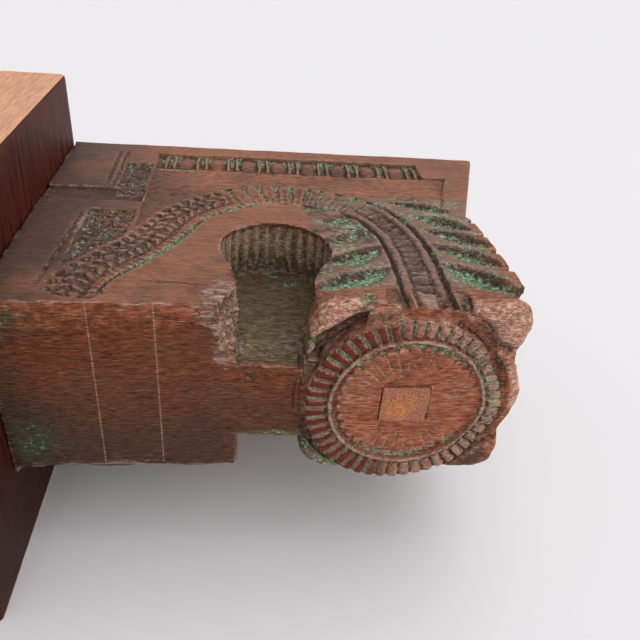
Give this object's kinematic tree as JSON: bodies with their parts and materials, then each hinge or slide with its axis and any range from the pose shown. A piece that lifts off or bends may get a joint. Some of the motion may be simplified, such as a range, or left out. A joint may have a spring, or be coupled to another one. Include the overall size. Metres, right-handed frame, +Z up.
{
  "type": "carved temple corbel",
  "caption": "Carved timber corbel with a flat load-bearing top, bead frieze, keyhole scoops and a square hanging lotus bud ending in a notched disc, on a plain backing block.",
  "frame": {"origin": "middle of the backing block's back face, where it meets the wall or column", "axes": "+X out of the wall along the arm, +Z up, so the load-bearing top faces +Z and the disc faces -Z"},
  "size_m": [0.4258, 0.271, 0.3323],
  "materials": {
    "carved_timber": "worn reddish-brown hardwood, hand carved, with traces of green paint in the cuts",
    "peg_timber": "raw orange-brown end grain",
    "block_timber": "dark stained front, paler sawn edges"
  },
  "bodies": {
    "root": {"corbel": "carved_timber", "disc_peg": "peg_timber", "backing_block": "block_timber"}
  },
  "joints": []
}
